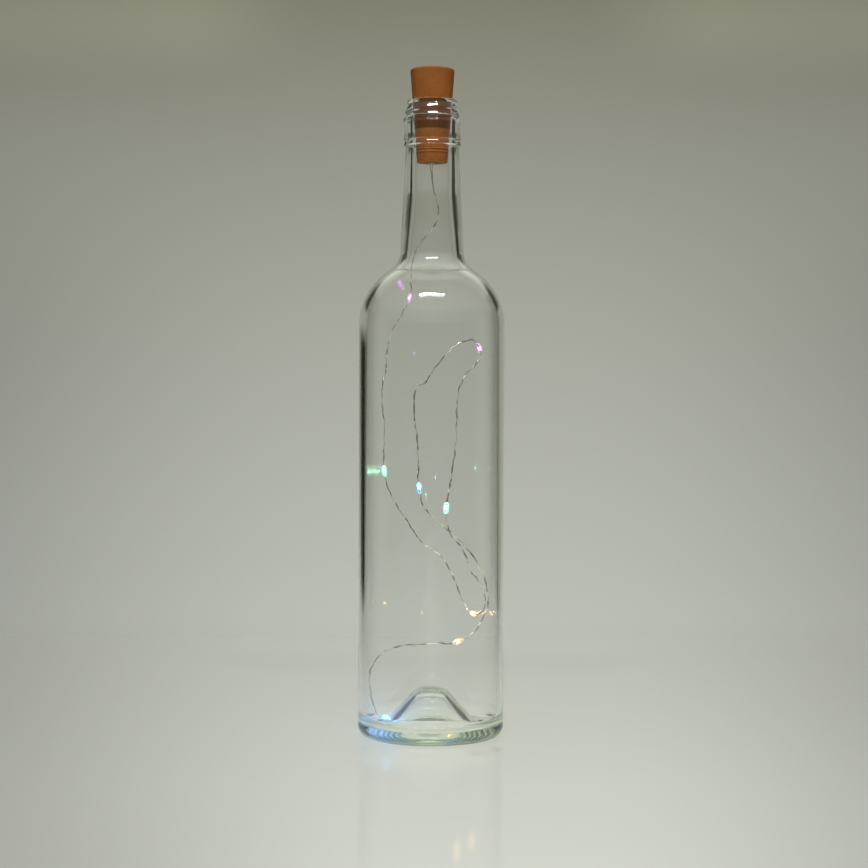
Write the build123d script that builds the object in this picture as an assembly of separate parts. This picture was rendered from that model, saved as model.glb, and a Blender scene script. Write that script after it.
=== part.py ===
from build123d import *
import math
import os

# A bottle light: a clear wine bottle, a cork-shaped stopper that holds three button cells,
# and a string of eight small lights on a fine wire that hangs from the stopper into the bottle.
# Millimetres, +Z up. The origin is the centre of the ring that the bottle stands on.
# The photograph looks along +Y, so -Y is the front.

# Bottle body
body_d = 74.0
body_wall = 3.0
bottle_h = 322.4
straight_h = 208.3
heel_r = 5.5
bearing_w = 2.5

# Shoulder and neck
shoulder_r = 33.0
shoulder_flank = 0.6
neck_fillet_r = 11.5
neck_root_d = 32.0
neck_taper = 2.75
bore_depth = 46.0

# Raised bottom of the bottle: sizes of the surface inside it, and the glass under it
floor_z = 6.1
punt_top = 24.4
punt_d = 42.6
punt_slope = 64.0
punt_wall = 3.8
punt_crown_r = 18.0
punt_foot_r = 4.0
heel_inside_r = 7.0
base_rise = 2.2

# Finish of the mouth: heights are measured down from the mouth
lip_d = 25.4
lip_round = 1.5
mouth_round = 0.7
skirt_d = 28.6
skirt_top_drop = 11.2
skirt_round = 0.8
groove_depth = 0.5
groove_h = 0.7
ring_d = 29.0
ring_top_drop = 20.5
ring_h = 3.0

# Stopper
stopper_l = 47.5
stopper_top_d = 22.5
stopper_bottom_d = 15.4
stopper_insert = 31.7
stopper_edge_r = 1.0
stopper_floor = 2.5
plug_clearance = 0.13
ledge_w = 1.2

# Button cells and their sleeve
cell_count = 3
cell_d = 11.6
cell_h = 5.4
cell_lid_d = 9.4
cell_lid_step = 0.35
cell_seal_w = 0.35
cell_base = 0.6
cell_edge_r = 0.4
cell_clearance = 0.2
sleeve_wall = 0.8
sleeve_clearance = 0.1
sleeve_top_drop = 0.5

# Circuit board, spring leaf, bus strip and resistor under the cells
board_t = 1.0
board_clearance = 0.1
leaf_h = 2.2
leaf_t = 0.3
leaf_w = 3.0
leaf_reach = 3.6
strip_w = 2.0
strip_t = 0.3
strip_clearance = 0.1
resistor_l = 3.2
resistor_w = 1.6
resistor_h = 0.55
resistor_y = -2.2

# Battery cap, its gasket and contacts
cap_d = 18.0
cap_t = 2.9
cap_edge_r = 0.4
cap_clearance = 0.15
spigot_d = 15.8
spigot_wall = 1.3
spigot_l = 7.0
gasket_t = 0.6
gasket_w = 0.8
carrier_t = 1.2
contact_t = 0.3
contact_d = 6.4
contact_ring_gap = 0.7
boss_d = 2.4
boss_h = 0.45
touch_gap = 0.05

# Slide switch in the cap
switch_l = 9.0
switch_w = 4.2
switch_h = 3.6
pin_d = 0.8
pin_inner_x = -2.0
pin_outer_x = 4.15
knob_l = 2.4
knob_w = 2.0
knob_top_drop = 0.5
knob_travel = 2.0
knob_clearance = 0.15
dish_l = 11.0
dish_w = 6.4
dish_depth = 1.6

# Light string
wire_d = 0.6
strand_d = 0.3
lead_spread = 1.3
lead_hole_d = 3.2
lead_drop = 1.0
splice_run = 1.6
bead_d = 2.7
bead_l = 6.5
bead_end_d = 1.0
bead_lead = 1.2
chip_l = 1.7
chip_w = 0.9
chip_h = 0.6
potting_gap = 0.02
ARC_SHARE = 0.45

# Route of the wire: one list for each stretch, from the splice under the stopper to the last light.
WIRE_ROUTE = [
    [
        (-0.4, 5.0, 283.9), (1.2, 5.4, 276.3), (4.0, 6.2, 268.7), (2.5, 6.8, 261.1), (-2.6, 6.8, 255.0),
        (-8.2, 6.0, 248.8), (-10.0, 5.2, 241.8), (-10.6, 8.2, 236.2), (-11.1, 13.6, 231.8),
    ],
    [
        (-16.6, 26.0, 215.0), (-21.8, 23.7, 205.5), (-24.1, 22.0, 196.6), (-24.3, 21.7, 186.7),
        (-26.5, 19.0, 178.3), (-26.7, 18.6, 169.5), (-25.0, 21.0, 158.0), (-25.4, 20.4, 145.5),
    ],
    [
        (-22.6, 23.5, 123.1), (-17.4, 27.6, 113.5), (-10.6, 30.8, 103.8), (-4.8, 32.2, 94.8),
        (4.2, 32.3, 90.1), (10.0, 31.0, 82.8), (13.7, 29.6, 74.0), (16.8, 27.9, 66.3),
    ],
    [
        (28.4, 14.0, 62.6), (28.7, 6.0, 69.6), (25.1, -2.0, 78.0), (19.6, -9.5, 84.3),
        (17.7, -17.5, 91.4), (14.3, -24.5, 98.4), (9.3, -28.2, 103.2), (7.8, -30.0, 109.2),
    ],
    [
        (9.2, -31.1, 127.5), (10.2, -31.0, 137.8), (12.1, -30.3, 151.0), (12.1, -30.1, 163.3),
        (12.5, -29.7, 173.7), (15.5, -28.0, 182.6), (20.7, -24.0, 187.6),
    ],
    [
        (16.4, -27.4, 200.1), (10.5, -30.5, 196.8), (5.1, -32.0, 190.8), (0.2, -32.4, 183.9), (-3.5, -32.2, 178.1),
        (-7.7, -31.5, 176.3), (-8.4, -31.3, 170.2), (-8.1, -31.4, 160.4), (-6.3, -32.0, 148.6), (-6.1, -31.8, 138.4),
    ],
    [
        (-3.6, -32.1, 118.0), (1.9, -32.5, 111.8), (9.8, -31.1, 105.4), (16.7, -28.0, 98.3), (22.8, -23.3, 89.4),
        (26.4, -19.1, 80.1), (28.0, -16.7, 71.4), (26.5, -19.0, 64.2), (21.6, -24.4, 56.4),
    ],
    [
        (3.6, -32.4, 51.2), (-4.9, -32.3, 50.4), (-13.7, -29.6, 49.8), (-21.7, -24.3, 46.4), (-27.3, -17.8, 40.1),
        (-30.3, -10.5, 32.0), (-30.4, -5.6, 23.6), (-29.4, -1.2, 15.8), (-27.6, 2.2, 10.4),
    ],
]
# Middle of each light, in the same order, and the point that the last light's tip turns towards.
LIGHT_PLACES = [
    (-11.9, 21.0, 224.2), (-25.1, 19.7, 133.6), (22.5, 22.6, 59.6), (7.3, -30.3, 117.6),
    (23.0, -21.4, 196.1), (-5.7, -31.1, 127.4), (12.9, -29.1, 51.5), (-23.2, 8.6, 7.6),
]
STRING_END = (-16.0, 19.0, 7.5)

# Levels of the stopper's stack, worked down from its top
stopper_bottom = bottle_h - stopper_insert
stopper_top = stopper_bottom + stopper_l
cap_under = stopper_top - cap_t
cap_seat = cap_under - gasket_t
spigot_end = cap_under - spigot_l
contact_under = spigot_end - contact_t
cells_top = contact_under - boss_h - touch_gap
cells_bottom = cells_top - cell_count * cell_h
board_top = cells_bottom - leaf_h
ledge_z = board_top - board_t

# Radii that the pieces share
body_r = body_d / 2
sleeve_in_r = cell_d / 2 + cell_clearance
sleeve_out_r = sleeve_in_r + sleeve_wall
chamber_r = sleeve_out_r + sleeve_clearance
spigot_bore_r = spigot_d / 2 + cap_clearance
cap_bore_r = cap_d / 2 + cap_clearance
plug_taper = (stopper_top_d - stopper_bottom_d) / 2 / stopper_l
bore_r = stopper_bottom_d / 2 + plug_taper * stopper_insert + plug_clearance
lead_x, lead_y, splice_z = WIRE_ROUTE[0][0]


def revolved(corners, rounds):
    """A solid turned about Z from (radius, height) corners, each with its own rounding."""
    outline = FilletPolyline(*[(r, 0, z) for r, z in corners], radius=rounds, close=True)
    return revolve(make_face(outline.edges()), Axis.Z)


def ring(outer_r, inner_r, low, high):
    """A plain round ring, or a disc where inner_r is 0."""
    blank = Pos(0, 0, low) * Cylinder(outer_r, high - low, align=(Align.CENTER, Align.CENTER, Align.MIN))
    if inner_r <= 0:
        return blank
    return blank - Pos(0, 0, low) * Cylinder(inner_r, high - low, align=(Align.CENTER, Align.CENTER, Align.MIN))


def upright_box(x, y, low, length, width, height):
    """A box on its foot at (x, y, low)."""
    return Pos(x, y, low) * Box(length, width, height, align=(Align.CENTER, Align.CENTER, Align.MIN))


def shoulder_curve(inset):
    """Points of the shoulder from the body to the neck, moved into the glass by inset, and its slope."""
    outer_r = shoulder_r - inset
    inner_r = neck_fillet_r + inset
    taper = math.radians(neck_taper)
    reach = shoulder_r + neck_fillet_r
    level = shoulder_r + neck_fillet_r * math.cos(taper) - (body_d - neck_root_d) / 2
    slope = math.acos(level / math.hypot(reach, shoulder_flank)) - math.atan2(shoulder_flank, reach)
    start = Vector(body_r - inset, 0, straight_h)
    flank_start = start + Vector(-outer_r * (1 - math.cos(slope)), 0, outer_r * math.sin(slope))
    along = Vector(-math.sin(slope), 0, math.cos(slope))
    flank_end = flank_start + along * shoulder_flank
    rise = math.sin(slope) - math.sin(taper)
    root = flank_end + Vector(-inner_r * (math.cos(taper) - math.cos(slope)), 0, inner_r * rise)
    return start, flank_start, flank_end, root, along


def punt_flank(height, inset):
    """Radius of the raised bottom's flank at a height, moved into the hollow below it by inset."""
    slope = math.radians(punt_slope)
    return punt_d / 2 - inset / math.sin(slope) - (height - floor_z) / math.tan(slope)


def crown_radius(corner_r, inset):
    """Rounding of the raised bottom's top, as large as its flat allows."""
    widest = 0.95 * corner_r / math.tan(math.radians(punt_slope) / 2)
    return min(punt_crown_r - inset, widest)


def bottle():
    """The glass: one closed outline, up the outside and down the inside, turned about Z."""
    out_start, out_flank, out_flank_end, out_root, along = shoulder_curve(0)
    in_start, in_flank, in_flank_end, in_root, _ = shoulder_curve(body_wall)
    under_top = punt_top - punt_wall
    under_crown_r = punt_flank(under_top, punt_wall)
    base = FilletPolyline(
        (0, 0, under_top),
        (under_crown_r, 0, under_top),
        (punt_flank(base_rise, punt_wall), 0, base_rise),
        (body_r - heel_r - bearing_w, 0, 0),
        (body_r, 0, 0),
        out_start,
        radius=[crown_radius(under_crown_r, punt_wall), punt_foot_r, 0, heel_r],
    )
    ring_low = bottle_h - ring_top_drop - ring_h
    ring_top = bottle_h - ring_top_drop
    skirt_top = bottle_h - skirt_top_drop
    groove_r = skirt_d / 2 - groove_depth
    neck_top_r = out_root.X - (ring_low - out_root.Z) * math.tan(math.radians(neck_taper))
    neck_top = (neck_top_r, 0, ring_low)
    ring_end = (groove_r, 0, ring_top)
    finish = FilletPolyline(
        ring_end,
        (groove_r, 0, ring_top + groove_h),
        (skirt_d / 2, 0, ring_top + groove_h),
        (skirt_d / 2, 0, skirt_top),
        (lip_d / 2, 0, skirt_top),
        (lip_d / 2, 0, bottle_h),
        (bore_r, 0, bottle_h),
        (bore_r, 0, bottle_h - bore_depth),
        in_root,
        radius=[0, 0, skirt_round, skirt_round, lip_round, mouth_round, 0],
    )
    crown_r = punt_flank(punt_top, 0)
    floor = FilletPolyline(
        in_start,
        (body_r - body_wall, 0, floor_z),
        (punt_d / 2, 0, floor_z),
        (crown_r, 0, punt_top),
        (0, 0, punt_top),
        radius=[heel_inside_r, punt_foot_r, crown_radius(crown_r, 0)],
    )
    outline = [
        *base.edges(),
        TangentArc(out_start, out_flank, tangent=(0, 0, 1)),
        Line(out_flank, out_flank_end),
        TangentArc(out_flank_end, out_root, tangent=along),
        Line(out_root, neck_top),
        ThreePointArc(neck_top, (ring_d / 2, 0, ring_low + ring_h / 2), ring_end),
        *finish.edges(),
        TangentArc(in_flank_end, in_root, tangent=along),
        Line(in_flank, in_flank_end),
        TangentArc(in_start, in_flank, tangent=(0, 0, 1)),
        *floor.edges(),
        Line((0, 0, punt_top), (0, 0, under_top)),
    ]
    return revolve(make_face(outline), Axis.Z)


def stopper_shell():
    """The cork-shaped shell: a plain taper outside, and stepped bores for the board, the cells and the cap."""
    blank = revolved(
        [(0, stopper_bottom), (stopper_bottom_d / 2, stopper_bottom), (stopper_top_d / 2, stopper_top), (0, stopper_top)],
        [0, 0, stopper_edge_r, 0],
    )
    blank -= ring(chamber_r - ledge_w, 0, stopper_bottom + stopper_floor, ledge_z)
    blank -= ring(chamber_r, 0, ledge_z, contact_under - touch_gap)
    blank -= ring(spigot_bore_r, 0, contact_under - touch_gap, cap_seat)
    blank -= ring(cap_bore_r, 0, cap_seat, stopper_top)
    return blank - Pos(lead_x, lead_y, 0) * ring(lead_hole_d / 2, 0, stopper_bottom, stopper_bottom + stopper_floor)


def lead_seal():
    """The soft plug in the shell's floor that the two leads pass through."""
    plug = ring(lead_hole_d / 2 - potting_gap, 0, stopper_bottom, stopper_bottom + stopper_floor)
    for side in (-1, 1):
        hole = ring(strand_d / 2 + potting_gap, 0, stopper_bottom, stopper_bottom + stopper_floor)
        plug -= Pos(side * lead_spread / 2, 0, 0) * hole
    return Pos(lead_x, lead_y, 0) * plug


def lead_strands():
    """Two enamelled strands from the board down to the splice, where they lie side by side."""
    strands = []
    for side in (-1, 1):
        wide_x = lead_x + side * lead_spread / 2
        close_x = lead_x + side * strand_d / 2
        route = [
            (wide_x, lead_y, ledge_z),
            (wide_x, lead_y, stopper_bottom - lead_drop),
            (close_x, lead_y, splice_z + splice_run),
            (close_x, lead_y, splice_z),
        ]
        strands.append(tube(route, strand_d)[0])
    return Compound(children=strands)


def circuit_board():
    return ring(chamber_r - board_clearance, 0, ledge_z, board_top)


def resistor():
    return upright_box(0, resistor_y, ledge_z - resistor_h, resistor_l, resistor_w, resistor_h)


def spring_leaf():
    """A bent leaf on the board that presses up on the lowest cell."""
    low = board_top + leaf_t / 2
    high = cells_bottom - leaf_t / 2
    bends = FilletPolyline(
        (-leaf_reach, 0, low),
        (-leaf_reach / 3, 0, low),
        (leaf_reach / 3, 0, high),
        (leaf_reach, 0, high),
        radius=[leaf_t, leaf_t],
    )
    section = Plane(origin=bends @ 0, z_dir=bends % 0) * Rectangle(leaf_t, leaf_w)
    return sweep(section, path=bends)


def strip_slot(room):
    """The room that the bus strip takes in the sleeve's wall."""
    middle = (sleeve_in_r + sleeve_out_r) / 2
    return upright_box(-middle, 0, board_top, strip_t + 2 * room, strip_w + 2 * room, contact_under - touch_gap - board_top)


def battery_sleeve():
    """The insulating tube around the cells, slotted for the bus strip."""
    sleeve = ring(sleeve_out_r, sleeve_in_r, board_top, cells_top - sleeve_top_drop)
    slot = upright_box(
        -(sleeve_in_r + sleeve_out_r) / 2, 0, board_top, 2 * sleeve_wall, strip_w + 2 * strip_clearance, stopper_l
    )
    return sleeve - slot


def bus_strip():
    return strip_slot(0)


def cell_pieces(index):
    """Cup, lid and seal of one button cell, its lid downwards; 0 is the lowest."""
    low = cells_bottom + index * cell_h
    cup_low = low + cell_lid_step
    pocket_r = cell_lid_d / 2 + cell_seal_w
    inside = low + cell_h - cell_base
    cup = revolved(
        [
            (0, inside), (pocket_r, inside), (pocket_r, cup_low),
            (cell_d / 2, cup_low), (cell_d / 2, low + cell_h), (0, low + cell_h),
        ],
        [0, 0, 0, cell_edge_r, cell_edge_r, 0],
    )
    lid = revolved(
        [(0, low), (cell_lid_d / 2, low), (cell_lid_d / 2, inside), (0, inside)],
        [0, cell_lid_step / 2, 0, 0],
    )
    seal = ring(pocket_r, cell_lid_d / 2, cup_low, inside)
    return cup, lid, seal


def knob_slot_length():
    return knob_l + knob_travel + 2 * knob_clearance


def battery_cap():
    """The round cap, flush in the shell's top, with a skirt below it and a finger dish above."""
    disc = revolved(
        [(0, cap_under), (cap_d / 2, cap_under), (cap_d / 2, stopper_top), (0, stopper_top)],
        [0, 0, cap_edge_r, 0],
    )
    dish = Pos(0, 0, stopper_top - dish_depth) * extrude(SlotOverall(dish_l, dish_w), dish_depth)
    slot = upright_box(0, 0, cap_under, knob_slot_length(), knob_w + 2 * knob_clearance, cap_t)
    skirt = ring(spigot_d / 2, spigot_d / 2 - spigot_wall, spigot_end, cap_under)
    return disc - dish - slot + skirt


def cap_gasket():
    return ring(spigot_bore_r + gasket_w, spigot_bore_r, cap_seat, cap_under)


def pin_places():
    return [pin_inner_x, pin_outer_x]


def contact_carrier():
    """The insulating plate in the cap's skirt, drilled for the switch's pins."""
    plate = ring(spigot_d / 2 - spigot_wall, 0, spigot_end, spigot_end + carrier_t)
    for x in pin_places():
        plate -= Pos(x, 0, 0) * ring(pin_d / 2 + potting_gap, 0, spigot_end, spigot_end + carrier_t)
    return plate


def centre_contact():
    """The disc under the carrier, with a boss that meets the top cell."""
    disc = ring(contact_d / 2, 0, contact_under, spigot_end)
    return disc + ring(boss_d / 2, 0, contact_under - boss_h, contact_under)


def ring_contact():
    """The flat ring under the cap's skirt that meets the bus strip."""
    return ring(spigot_d / 2 - touch_gap, contact_d / 2 + contact_ring_gap, contact_under, spigot_end)


def switch_body():
    return upright_box(0, 0, cap_under - switch_h, switch_l, switch_w, switch_h)


def switch_pins():
    return Compound(
        children=[Pos(x, 0, 0) * ring(pin_d / 2, 0, spigot_end, cap_under - switch_h) for x in pin_places()]
    )


def switch_slider():
    """The slider in its on place: a stem in the cap's slot with three grip ribs across its top."""
    low = cap_under + touch_gap
    high = stopper_top - knob_top_drop
    stem = upright_box(knob_travel / 2, 0, low, knob_l, knob_w, high - low)
    groove_w = knob_l / 7
    for step in (-1, 0, 1):
        x = knob_travel / 2 + step * 2 * groove_w
        stem -= upright_box(x, 0, high - groove_w, groove_w, knob_w, groove_w)
    return stem


def corner_radii(points):
    """The largest arc that each corner's two runs leave room for."""
    places = [Vector(*p) for p in points]
    radii = []
    for before, here, after in zip(places, places[1:], places[2:]):
        run_in = here - before
        run_out = after - here
        half_turn = math.radians(run_in.get_angle(run_out)) / 2
        radii.append(ARC_SHARE * min(run_in.length, run_out.length) / math.tan(half_turn))
    return radii


def tube(points, diameter):
    """A round tube along the points, with its radii, its length and its section's volume over that length."""
    radii = corner_radii(points)
    path = FilletPolyline(*points, radius=radii)
    section = Plane(origin=path @ 0, z_dir=path % 0) * Circle(diameter / 2)
    solid = sweep(section, path=path)
    return solid, radii, path.length, solid.volume / (math.pi * diameter**2 / 4 * path.length)


def light_axes():
    """The way that each light points: along the wire from the point before it to the point after it."""
    axes = []
    for index, place in enumerate(LIGHT_PLACES):
        if index + 1 < len(LIGHT_PLACES):
            axes.append((Vector(*WIRE_ROUTE[index + 1][0]) - Vector(*WIRE_ROUTE[index][-1])).normalized())
        else:
            axes.append((Vector(*STRING_END) - Vector(*place)).normalized())
    return axes


def wire_stretch(index, axes):
    """One stretch of wire, from the chip of the light before it to the chip of the light after it."""
    to_chip = chip_l / 2 + potting_gap
    to_bend = bead_l / 2 + bead_lead
    points = [Vector(*p) for p in WIRE_ROUTE[index]]
    if index > 0:
        before = Vector(*LIGHT_PLACES[index - 1])
        points = [before + axes[index - 1] * to_chip, before + axes[index - 1] * to_bend] + points
    after = Vector(*LIGHT_PLACES[index])
    points += [after - axes[index] * to_bend, after - axes[index] * to_chip]
    return tube([tuple(p) for p in points], wire_d)


def light(place, axis):
    """A drop of clear resin with a bore for the wire and a pocket for its chip, and the chip."""
    frame = Plane(origin=place, z_dir=axis)
    half = bead_l / 2
    end_r = bead_end_d / 2
    side = ThreePointArc((end_r, 0, -half), (bead_d / 2, 0, 0), (end_r, 0, half))
    outline = Polyline((end_r, 0, half), (0, 0, half), (0, 0, -half), (end_r, 0, -half))
    drop = revolve(make_face([*side.edges(), *outline.edges()]), Axis.Z)
    room = 2 * potting_gap
    drop -= Cylinder(wire_d / 2 + potting_gap, bead_l)
    drop -= Box(chip_w + room, chip_h + room, chip_l + room)
    return frame.location * drop, frame.location * Box(chip_w, chip_h, chip_l)


def all_pieces():
    """Every piece of the lamp by its name."""
    pieces = {
        "bottle": bottle(),
        "stopper_shell": stopper_shell(),
        "lead_seal": lead_seal(),
        "lead_strands": lead_strands(),
        "circuit_board": circuit_board(),
        "resistor": resistor(),
        "spring_leaf": spring_leaf(),
        "battery_sleeve": battery_sleeve(),
        "bus_strip": bus_strip(),
        "battery_cap": battery_cap(),
        "cap_gasket": cap_gasket(),
        "contact_carrier": contact_carrier(),
        "centre_contact": centre_contact(),
        "ring_contact": ring_contact(),
        "switch_body": switch_body(),
        "switch_pins": switch_pins(),
        "switch_slider": switch_slider(),
    }
    for index in range(cell_count):
        cup, lid, seal = cell_pieces(index)
        pieces[f"cell_cup_{index + 1}"] = cup
        pieces[f"cell_lid_{index + 1}"] = lid
        pieces[f"cell_seal_{index + 1}"] = seal
    axes = light_axes()
    total = 0
    for index, place in enumerate(LIGHT_PLACES):
        stretch, radii, length, fill = wire_stretch(index, axes)
        total += length
        print(f"wire {index + 1}: {length:.1f} mm, volume over section x length {fill:.4f}")
        print("  radii", [round(r, 1) for r in radii])
        pieces[f"wire_{index + 1}"] = stretch
        bead, chip = light(place, axes[index])
        pieces[f"light_bead_{index + 1}"] = bead
        pieces[f"light_chip_{index + 1}"] = chip
    print(f"wire length between the lights: {total:.1f} mm")
    return pieces


os.makedirs("parts", exist_ok=True)
for name, piece in all_pieces().items():
    export_step(piece, f"parts/{name}.step")
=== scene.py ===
import math

import bmesh
import bpy
from bpy.props import (
    FloatProperty,
    FloatVectorProperty,
    IntProperty,
    PointerProperty,
)
from mathutils import Matrix, Quaternion, Vector


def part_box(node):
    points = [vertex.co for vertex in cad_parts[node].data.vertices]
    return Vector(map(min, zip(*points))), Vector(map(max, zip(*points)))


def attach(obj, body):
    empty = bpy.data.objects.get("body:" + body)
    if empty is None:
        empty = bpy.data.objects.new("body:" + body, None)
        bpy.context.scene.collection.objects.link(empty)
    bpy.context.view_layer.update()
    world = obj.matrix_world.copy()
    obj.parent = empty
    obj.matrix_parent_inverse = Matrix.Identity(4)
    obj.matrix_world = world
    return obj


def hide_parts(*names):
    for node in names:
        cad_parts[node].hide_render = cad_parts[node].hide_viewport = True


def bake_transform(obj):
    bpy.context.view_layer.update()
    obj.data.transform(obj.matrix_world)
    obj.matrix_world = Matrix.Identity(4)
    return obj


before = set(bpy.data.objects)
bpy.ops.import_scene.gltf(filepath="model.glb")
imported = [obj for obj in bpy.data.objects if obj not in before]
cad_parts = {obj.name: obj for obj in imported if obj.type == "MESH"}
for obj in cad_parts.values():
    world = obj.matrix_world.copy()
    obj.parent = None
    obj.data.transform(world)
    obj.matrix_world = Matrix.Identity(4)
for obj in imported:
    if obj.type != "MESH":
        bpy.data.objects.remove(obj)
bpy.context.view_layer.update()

bl_info = {
    "name": "Cork bottle light",
    "version": (1, 0, 0),
    "blender": (4, 5, 0),
    "location": "View3D > Sidebar > Bottle light",
    "description": "A clear bottle with a cork-shaped stopper and a string of eight small lights",
    "category": "Add Mesh",
}

MM = 0.001
BOTTLE_LOW, BOTTLE_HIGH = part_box("bottle")
STOPPER_LOW, STOPPER_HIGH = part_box("stopper_shell")

# Light string: the route's points in metres, one list for each stretch, from the splice to the last light
WIRE_ROUTE = [
    [
        (-0.0004, 0.0050, 0.2839), (0.0012, 0.0054, 0.2763), (0.0040, 0.0062, 0.2687),
        (0.0025, 0.0068, 0.2611), (-0.0026, 0.0068, 0.2550), (-0.0082, 0.0060, 0.2488),
        (-0.0100, 0.0052, 0.2418), (-0.0106, 0.0082, 0.2362), (-0.0111, 0.0136, 0.2318),
    ],
    [
        (-0.0166, 0.0260, 0.2150), (-0.0218, 0.0237, 0.2055), (-0.0241, 0.0220, 0.1966),
        (-0.0243, 0.0217, 0.1867), (-0.0265, 0.0190, 0.1783), (-0.0267, 0.0186, 0.1695),
        (-0.0250, 0.0210, 0.1580), (-0.0254, 0.0204, 0.1455),
    ],
    [
        (-0.0226, 0.0235, 0.1231), (-0.0174, 0.0276, 0.1135), (-0.0106, 0.0308, 0.1038),
        (-0.0048, 0.0322, 0.0948), (0.0042, 0.0323, 0.0901), (0.0100, 0.0310, 0.0828),
        (0.0137, 0.0296, 0.0740), (0.0168, 0.0279, 0.0663),
    ],
    [
        (0.0284, 0.0140, 0.0626), (0.0287, 0.0060, 0.0696), (0.0251, -0.0020, 0.0780),
        (0.0196, -0.0095, 0.0843), (0.0177, -0.0175, 0.0914), (0.0143, -0.0245, 0.0984),
        (0.0093, -0.0282, 0.1032), (0.0078, -0.0300, 0.1092),
    ],
    [
        (0.0092, -0.0311, 0.1275), (0.0102, -0.0310, 0.1378), (0.0121, -0.0303, 0.1510),
        (0.0121, -0.0301, 0.1633), (0.0125, -0.0297, 0.1737), (0.0155, -0.0280, 0.1826),
        (0.0207, -0.0240, 0.1876),
    ],
    [
        (0.0164, -0.0274, 0.2001), (0.0105, -0.0305, 0.1968), (0.0051, -0.0320, 0.1908),
        (0.0002, -0.0324, 0.1839), (-0.0035, -0.0322, 0.1781), (-0.0077, -0.0315, 0.1763),
        (-0.0084, -0.0313, 0.1702), (-0.0081, -0.0314, 0.1604), (-0.0063, -0.0320, 0.1486),
        (-0.0061, -0.0318, 0.1384),
    ],
    [
        (-0.0036, -0.0321, 0.1180), (0.0019, -0.0325, 0.1118), (0.0098, -0.0311, 0.1054),
        (0.0167, -0.0280, 0.0983), (0.0228, -0.0233, 0.0894), (0.0264, -0.0191, 0.0801),
        (0.0280, -0.0167, 0.0714), (0.0265, -0.0190, 0.0642), (0.0216, -0.0244, 0.0564),
    ],
    [
        (0.0036, -0.0324, 0.0512), (-0.0049, -0.0323, 0.0504), (-0.0137, -0.0296, 0.0498),
        (-0.0217, -0.0243, 0.0464), (-0.0273, -0.0178, 0.0401), (-0.0303, -0.0105, 0.0320),
        (-0.0304, -0.0056, 0.0236), (-0.0294, -0.0012, 0.0158), (-0.0276, 0.0022, 0.0104),
    ],
]
LIGHT_PLACES = [
    (-0.0119, 0.0210, 0.2242), (-0.0251, 0.0197, 0.1336), (0.0225, 0.0226, 0.0596),
    (0.0073, -0.0303, 0.1176), (0.0230, -0.0214, 0.1961), (-0.0057, -0.0311, 0.1274),
    (0.0129, -0.0291, 0.0515), (-0.0232, 0.0086, 0.0076),
]
STRING_END = (-0.0160, 0.0190, 0.0075)
LIGHT_COLOURS = ["violet", "green", "amber", "green", "violet", "blue", "amber", "blue"]
LIGHT_COUNT = len(LIGHT_PLACES)
# Brightness of each light's chip, and of the painted glow of the drop around it
CHIP_GLOW = [6.0, 150.0, 14.0, 170.0, 6.0, 60.0, 14.0, 450.0]
DROP_PAINTED_GLOW = [0.14, 0.6, 0.22, 0.6, 0.14, 0.5, 0.22, 0.6]

NECK_TAPER = math.radians(2.75)
# How far the chords of a rounding may lie from its curve
BOTTLE_FIT, PAPER_FIT = 0.014 * MM, 0.03 * MM
# The strands spread from the splice's height up, over this rise
SPLICE_HEIGHT, SPLICE_RISE = 285.2 * MM, 4.5 * MM
# Distance from a light's middle to the control points at its two ends
LIGHT_REACH = 4.45 * MM
# The string ends this far past the middle of its last light
STRING_PAST_LIGHT = 0.4 * MM
# How far the lens stands beside the bottle's axis, in metres, and its dip and roll, in degrees
CAMERA_ASIDE, CAMERA_DIP, CAMERA_ROLL = 0.0013, 0.72, -0.18
# Edges of the paper, in metres: its top, half its width on the floor, and where its backdrop begins
PAPER_TOP, FLOOR_HALF_WIDTH, BACKDROP_START = 1.05, 1.1, 0.41
# Half the width of the camera's view for each metre from the lens, and a margin
VIEW_HALF_WIDTH, VIEW_MARGIN = 0.2385, 0.004


class BottleLightGlass(bpy.types.PropertyGroup):
    """Sizes and tint of the bottle."""

    body_diameter: FloatProperty(
        name="Body diameter",
        description="Outside diameter of the straight body",
        default=BOTTLE_HIGH.x - BOTTLE_LOW.x,
        unit="LENGTH",
    )
    height: FloatProperty(
        name="Height",
        description="Height of the bottle's mouth above the table",
        default=BOTTLE_HIGH.z,
        unit="LENGTH",
    )
    wall: FloatProperty(
        name="Wall",
        description="Thickness of the glass",
        default=3.0 * MM,
        unit="LENGTH",
    )
    segments: IntProperty(
        name="Segments",
        description="Faces around the bottle, four for each mark on its heel",
        default=400,
    )
    thread_pitch: FloatProperty(
        name="Thread pitch",
        description="Rise of the mouth's thread in one turn",
        default=3.8 * MM,
        unit="LENGTH",
    )
    thread_height: FloatProperty(
        name="Thread height",
        description="How far the thread stands out from the lip",
        default=1.13 * MM,
        unit="LENGTH",
    )
    mark_depth: FloatProperty(
        name="Heel mark depth",
        description="Depth of the notches pressed around the heel",
        default=0.9 * MM,
        unit="LENGTH",
    )
    tint: FloatVectorProperty(
        name="Tint",
        description="Colour that thick glass takes",
        subtype="COLOR",
        size=4,
        default=(0.645, 0.85, 0.33, 1.0),
        min=0.0,
        max=1.0,
    )
    # Painted glow: an emission colour that the glass gives off near the lowest light, not light that reaches
    # the glass from it.
    glow: FloatVectorProperty(
        name="Glow",
        description="Light of the lowest lamp that the glass around it catches",
        subtype="COLOR",
        size=4,
        default=(0.06, 0.26, 0.80, 1.0),
        min=0.0,
        max=1.0,
    )
    # Painted glow: how far the painted glow spreads from the lowest light.
    painted_glow_reach: FloatProperty(
        name="Glow reach",
        description="How far the lowest lamp's glow reaches into the glass around it",
        default=4.8 * MM,
        unit="LENGTH",
    )
    tint_density: FloatProperty(
        name="Tint density",
        description="How fast the glass takes its tint, per metre",
        default=9.0,
    )


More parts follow.
